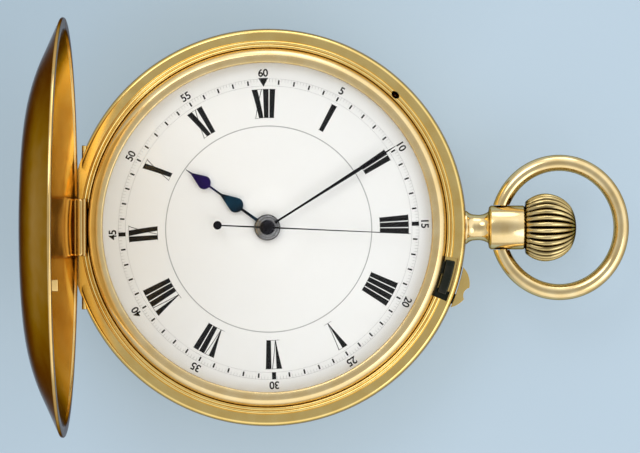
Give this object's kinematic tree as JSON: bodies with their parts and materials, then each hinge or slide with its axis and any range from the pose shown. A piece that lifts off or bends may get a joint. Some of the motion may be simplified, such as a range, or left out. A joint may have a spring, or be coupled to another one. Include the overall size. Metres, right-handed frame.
{
  "type": "hunter pocket watch",
  "caption": "Gold hunter-case pocket watch with centre seconds, domed front cover standing open, ribbed winding crown inside an oval bow, and its movement.",
  "frame": {"origin": "centre of the flat on the back cover that the watch lies on", "axes": "+Z from the back towards the dial, +X along the pendant at 3 o'clock, +Y towards 12 o'clock"},
  "size_m": [0.0802, 0.054, 0.0626],
  "materials": {
    "gold": "polished 18 carat gold",
    "gold_cover": "polished 18 carat gold, fine wear",
    "glass": "clear polished",
    "enamel": "glossy white vitreous enamel with black printing",
    "blued_steel": "polished, heat blued",
    "dark_steel": "dark polished steel",
    "gilt": "frosted gilding",
    "steel": "polished steel",
    "screw_blue": "polished, heat blued",
    "spring_steel": "hardened spring steel",
    "ruby": "polished ruby"
  },
  "bodies": {
    "case": {"case_middle": "gold", "bezel": "gold", "crystal": "glass", "pendant": "gold", "bow_screws": "gold", "front_hinge_pin": "gold", "back_hinge_pins": "gold", "lift_spring": "dark_steel", "dial": "enamel", "dial_feet": "gilt", "centre_tube": "gilt", "studs": "steel", "pillar_plate": "gilt", "three_quarter_plate": "gilt", "balance_cock": "gilt", "lever_bridge": "steel", "pillars": "gilt", "plate_screws": "screw_blue", "case_screws": "screw_blue", "jewels": "ruby", "click_spring": "steel"},
    "front_cover": {"front_cover": "gold_cover"},
    "back_cover": {"back_cover": "gold_cover"},
    "dust_cover": {"dust_cover": "gold_cover"},
    "bow": {"bow": "gold"},
    "winding_pinion": {"winding_pinion": "steel"},
    "crown": {"crown": "gold", "winding_stem": "steel"},
    "lock_spring": {"lock_spring": "dark_steel"},
    "crown_wheel": {"crown_wheel": "steel"},
    "transmission_wheel": {"transmission_wheel": "steel"},
    "ratchet": {"ratchet_wheel": "steel", "barrel_arbor": "steel"},
    "click": {"click": "steel"},
    "stop_slide": {"stop_slide": "dark_steel", "stop_thumb_piece": "gold"},
    "stop_lever": {"stop_lever": "steel"},
    "fourth_wheel": {"fourth_wheel": "gilt", "fourth_pinion": "steel", "seconds_hand": "blued_steel"},
    "third_wheel": {"third_wheel": "gilt", "third_pinion": "steel"},
    "second_wheel": {"second_wheel": "gilt", "second_pinion": "steel", "friction_pinion": "steel"},
    "barrel": {"barrel": "gilt", "barrel_cover": "gilt", "mainspring": "spring_steel"},
    "escape_wheel": {"escape_wheel": "steel", "escape_pinion": "steel"},
    "minute_hand": {"cannon_pinion": "steel", "minute_hand": "blued_steel"},
    "minute_wheel": {"minute_wheel": "gilt"},
    "hour_hand": {"hour_wheel": "gilt", "hour_hand": "blued_steel"},
    "balance": {"balance_wheel": "gilt", "balance_staff": "steel", "hairspring": "spring_steel"},
    "pallet_lever": {"pallet_lever": "steel"},
    "regulator": {"regulator": "steel"}
  },
  "joints": [
    {"name": "front_cover_hinge", "type": "hinge", "parent": "case", "child": "front_cover", "pos_m": [-0.0248, 0, 0.0108], "axis": [0, 1, 0], "range_deg": [0, 90], "stiffness_Nm_per_rad": 0.003, "springref_deg": -34.38},
    {"name": "back_cover_hinge", "type": "hinge", "parent": "case", "child": "back_cover", "pos_m": [-0.0266, 0, 0.00465], "axis": [0, 1, 0], "range_deg": [0, 95]},
    {"name": "dust_cover_hinge", "type": "hinge", "parent": "case", "child": "dust_cover", "pos_m": [-0.02475, 0, 0.00475], "axis": [0, 1, 0], "range_deg": [0, 72]},
    {"name": "bow_swivel", "type": "hinge", "parent": "case", "child": "bow", "pos_m": [0.032, 0, 0.0084], "axis": [0, 1, 0], "range_deg": [-88, 88]},
    {"name": "crown_turn", "type": "hinge", "parent": "case", "child": "winding_pinion", "pos_m": [0.0176, 0, 0.0084], "axis": [1, 0, 0], "continuous": true},
    {"name": "crown_push", "type": "slide", "parent": "winding_pinion", "child": "crown", "axis": [1, 0, 0], "range_m": [-0.0005, 0], "stiffness_N_per_m": 1500, "springref_m": 0.0004},
    {"name": "catch_slide", "type": "slide", "parent": "case", "child": "lock_spring", "axis": [1, 0, 0], "range_m": [-0.00026, 0]},
    {"name": "crown_wheel_turn", "type": "hinge", "parent": "case", "child": "crown_wheel", "pos_m": [0.0148, 0, 0.0042], "axis": [0, 0, 1], "continuous": true},
    {"name": "transmission_turn", "type": "hinge", "parent": "case", "child": "transmission_wheel", "pos_m": [0.01233, 0.00676, 0.0042], "axis": [0, 0, 1], "continuous": true},
    {"name": "ratchet_turn", "type": "hinge", "parent": "case", "child": "ratchet", "pos_m": [0.00612, 0.01181, 0.0042], "axis": [0, 0, 1], "continuous": true},
    {"name": "click_turn", "type": "hinge", "parent": "case", "child": "click", "pos_m": [0.00006, 0.01166, 0.0042], "axis": [0, 0, 1], "range_deg": [0, 10], "stiffness_Nm_per_rad": 0.0001, "springref_deg": -11.46},
    {"name": "stop_slide_turn", "type": "hinge", "parent": "case", "child": "stop_slide", "pos_m": [0, 0, 0.00935], "axis": [0, 0, 1], "range_deg": [-3, 3]},
    {"name": "stop_lever_turn", "type": "hinge", "parent": "case", "child": "stop_lever", "pos_m": [0.00784, -0.01144, 0.0091], "axis": [0, 0, 1], "range_deg": [-4, 4]},
    {"name": "seconds_turn", "type": "hinge", "parent": "case", "child": "fourth_wheel", "pos_m": [0, 0, 0.0057], "axis": [0, 0, 1], "continuous": true},
    {"name": "third_turn", "type": "hinge", "parent": "case", "child": "third_wheel", "pos_m": [-0.00501, 0.00096, 0.0065], "axis": [0, 0, 1], "continuous": true},
    {"name": "second_turn", "type": "hinge", "parent": "case", "child": "second_wheel", "pos_m": [-0.00115, 0.0065, 0.0072], "axis": [0, 0, 1], "continuous": true},
    {"name": "barrel_turn", "type": "hinge", "parent": "case", "child": "barrel", "pos_m": [0.00612, 0.01181, 0.00545], "axis": [0, 0, 1], "continuous": true},
    {"name": "escape_turn", "type": "hinge", "parent": "case", "child": "escape_wheel", "pos_m": [-0.00084, -0.00477, 0.00695], "axis": [0, 0, 1], "continuous": true},
    {"name": "minute_hand_turn", "type": "hinge", "parent": "case", "child": "minute_hand", "pos_m": [0, 0, 0.012], "axis": [0, 0, 1], "continuous": true},
    {"name": "minute_wheel_turn", "type": "hinge", "parent": "case", "child": "minute_wheel", "pos_m": [-0.0012, 0.00314, 0.0091], "axis": [0, 0, 1], "continuous": true},
    {"name": "hour_hand_turn", "type": "hinge", "parent": "case", "child": "hour_hand", "pos_m": [0, 0, 0.0115], "axis": [0, 0, 1], "continuous": true},
    {"name": "balance_swing", "type": "hinge", "parent": "case", "child": "balance", "pos_m": [-0.00231, -0.0131, 0.00545], "axis": [0, 0, 1], "range_deg": [-135, 135], "stiffness_Nm_per_rad": 0.000003},
    {"name": "lever_swing", "type": "hinge", "parent": "case", "child": "pallet_lever", "pos_m": [-0.00137, -0.00779, 0.00695], "axis": [0, 0, 1], "range_deg": [-5, 5]},
    {"name": "regulator_turn", "type": "hinge", "parent": "case", "child": "regulator", "pos_m": [-0.00231, -0.0131, 0.0042], "axis": [0, 0, 1], "range_deg": [-15, 15]}
  ],
  "couplings": [
    {"joint": "dust_cover_hinge", "follows": "back_cover_hinge", "ratio": 0.75},
    {"joint": "catch_slide", "follows": "crown_push", "ratio": 0.5},
    {"joint": "crown_wheel_turn", "follows": "crown_turn", "ratio": 0.5},
    {"joint": "transmission_turn", "follows": "crown_turn", "ratio": -0.4},
    {"joint": "ratchet_turn", "follows": "crown_turn", "ratio": 0.4},
    {"joint": "stop_lever_turn", "follows": "stop_slide_turn", "ratio": 1.305},
    {"joint": "third_turn", "follows": "seconds_turn", "ratio": -0.13333},
    {"joint": "second_turn", "follows": "seconds_turn", "ratio": 0.016667},
    {"joint": "barrel_turn", "follows": "seconds_turn", "ratio": -0.0020833},
    {"joint": "escape_turn", "follows": "seconds_turn", "ratio": -10},
    {"joint": "minute_hand_turn", "follows": "seconds_turn", "ratio": 0.016667},
    {"joint": "minute_wheel_turn", "follows": "seconds_turn", "ratio": -0.0055556},
    {"joint": "hour_hand_turn", "follows": "seconds_turn", "ratio": 0.0013889},
    {"joint": "lever_swing", "follows": "balance_swing", "ratio": -0.037}
  ]
}
